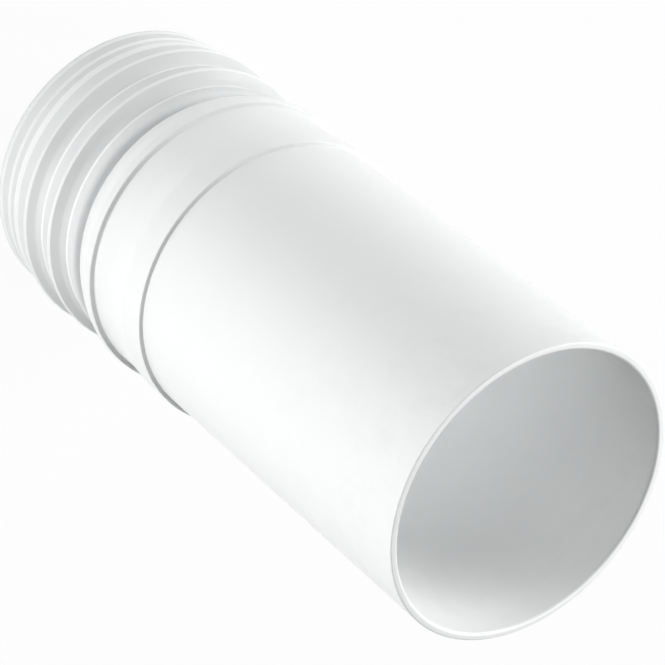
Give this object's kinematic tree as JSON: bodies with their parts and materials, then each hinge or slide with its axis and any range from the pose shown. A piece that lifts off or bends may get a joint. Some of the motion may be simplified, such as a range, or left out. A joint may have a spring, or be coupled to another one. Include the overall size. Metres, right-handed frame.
{
  "type": "toilet pan connector",
  "caption": "Straight rigid white toilet pan connector: a plain open pipe end, a raised stop band and collar, and a soft finned sealing sleeve on a narrower spigot at the other end.",
  "frame": {"origin": "centre of the finned end's face, on the pipe's axis, where the part stands", "axes": "+Z along the pipe's axis, from the finned end up to the plain mouth; X and Y across it"},
  "size_m": [0.1162, 0.1162, 0.2595],
  "materials": {
    "rigid_plastic": "satin gloss, moulded white polypropylene",
    "soft_seal": "matte, moulded soft white elastomer"
  },
  "bodies": {
    "root": {"pipe_body": "rigid_plastic", "finned_seal": "soft_seal"}
  },
  "joints": []
}
